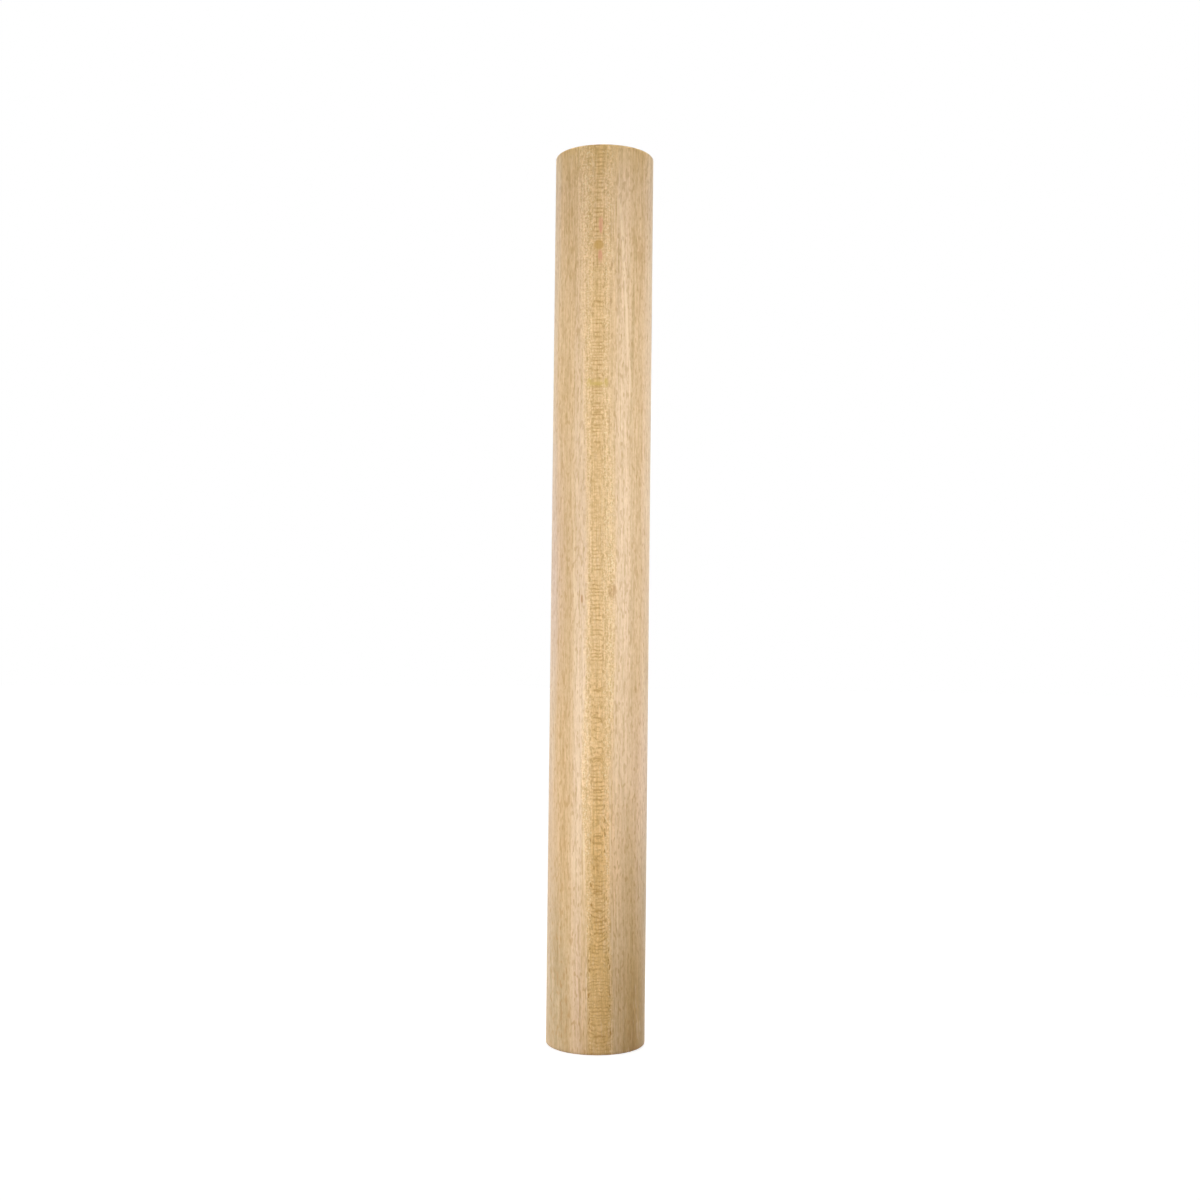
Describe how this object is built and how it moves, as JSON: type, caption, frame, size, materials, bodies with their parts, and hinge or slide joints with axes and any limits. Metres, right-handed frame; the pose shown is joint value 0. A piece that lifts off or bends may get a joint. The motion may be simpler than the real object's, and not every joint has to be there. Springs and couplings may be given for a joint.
{
  "type": "french rolling pin",
  "caption": "Straight French rolling pin: a solid beech dowel with flat ends and lightly eased edges, rolled under the palms, with no handles.",
  "frame": {"origin": "centre of the end face that the pin stands on", "axes": "+Z along the pin's own axis and up, as the picture shows it upright; -Y towards the picture's camera; turn it a quarter turn about X to lay it on a worktop"},
  "size_m": [0.05, 0.05, 0.45],
  "materials": {
    "beech": "bare sanded beech, satin"
  },
  "bodies": {
    "root": {"dowel": "beech"}
  },
  "joints": []
}
